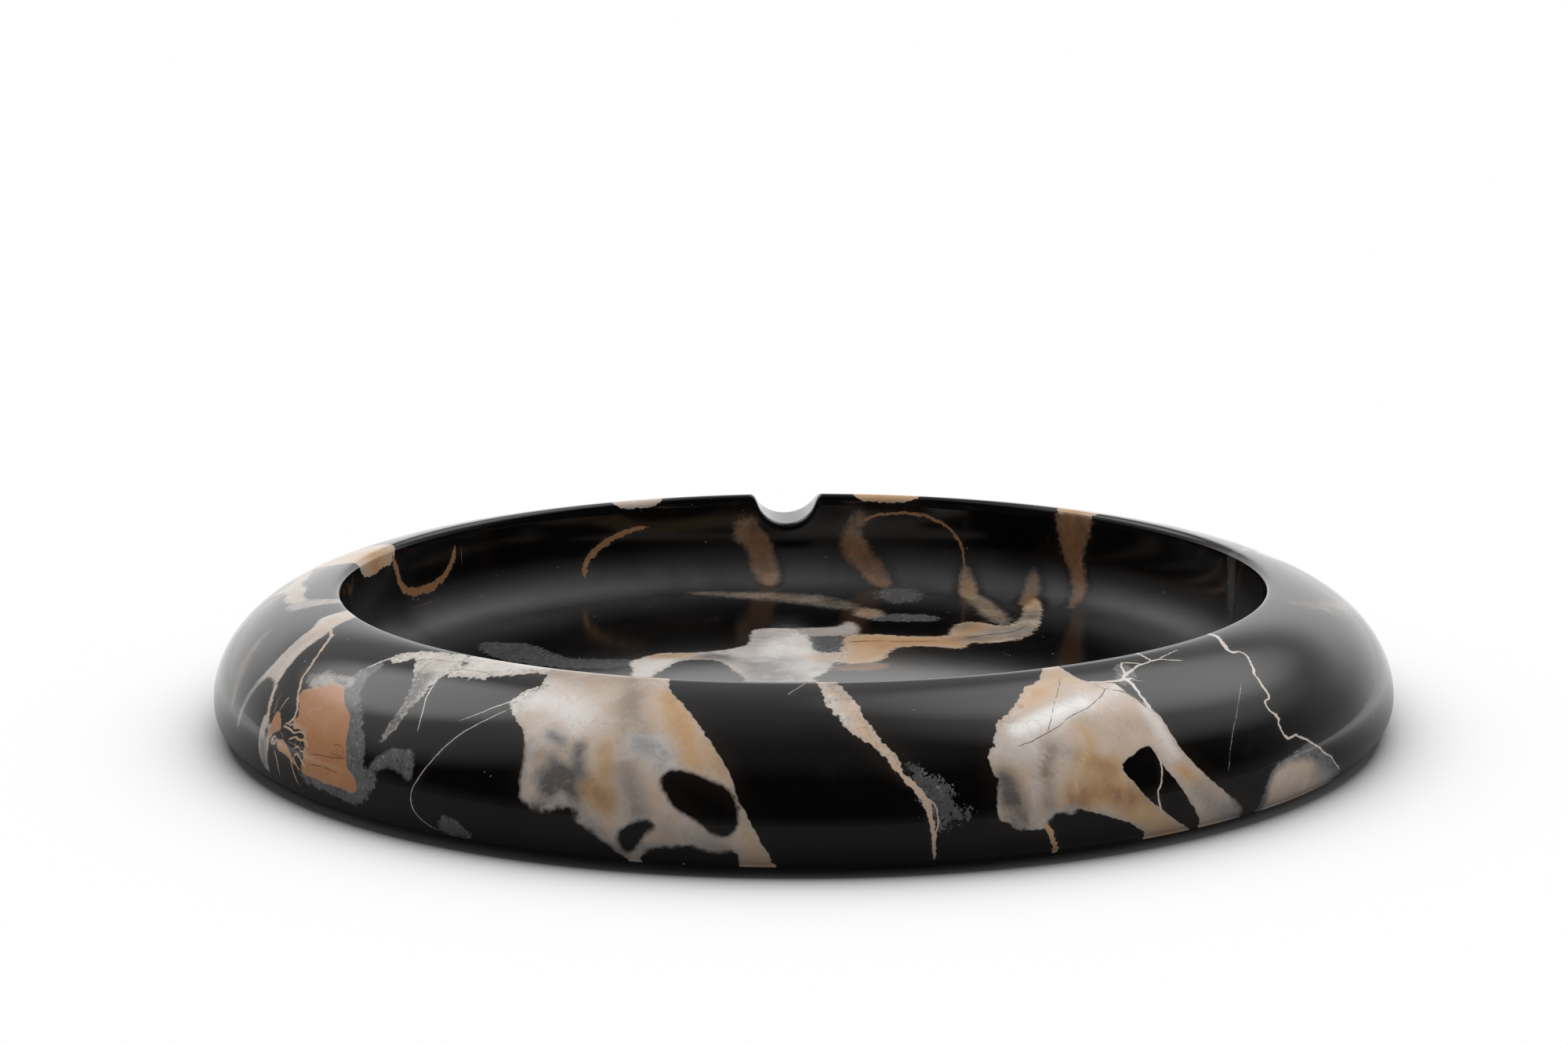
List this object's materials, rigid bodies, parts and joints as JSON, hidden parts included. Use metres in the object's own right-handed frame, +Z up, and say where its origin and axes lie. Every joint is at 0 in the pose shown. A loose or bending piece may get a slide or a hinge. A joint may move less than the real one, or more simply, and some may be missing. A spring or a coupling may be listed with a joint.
{
  "type": "ashtray",
  "caption": "Round polished black marble ashtray with a domed rim, an upright bowl wall, a flat floor and a half-round cigarette rest, standing on felt pads.",
  "frame": {"origin": "on the table, on the bowl's axis, level with the undersides of the felt pads", "axes": "+Z up along the bowl's axis, +Y from the bowl's axis towards the cigarette rest, +X to the right seen from the front, which is the -Y side"},
  "size_m": [0.2, 0.1999, 0.0235],
  "materials": {
    "marble": "polished black marble with white, cream and gold veins and patches",
    "felt": "black pressed felt",
    "adhesive": "thin pale pressure-sensitive adhesive"
  },
  "bodies": {
    "root": {"marble_body": "marble", "felt_pad_1": "felt", "felt_pad_2": "felt", "felt_pad_3": "felt", "felt_pad_4": "felt", "adhesive_disc_1": "adhesive", "adhesive_disc_2": "adhesive", "adhesive_disc_3": "adhesive", "adhesive_disc_4": "adhesive"}
  },
  "joints": []
}
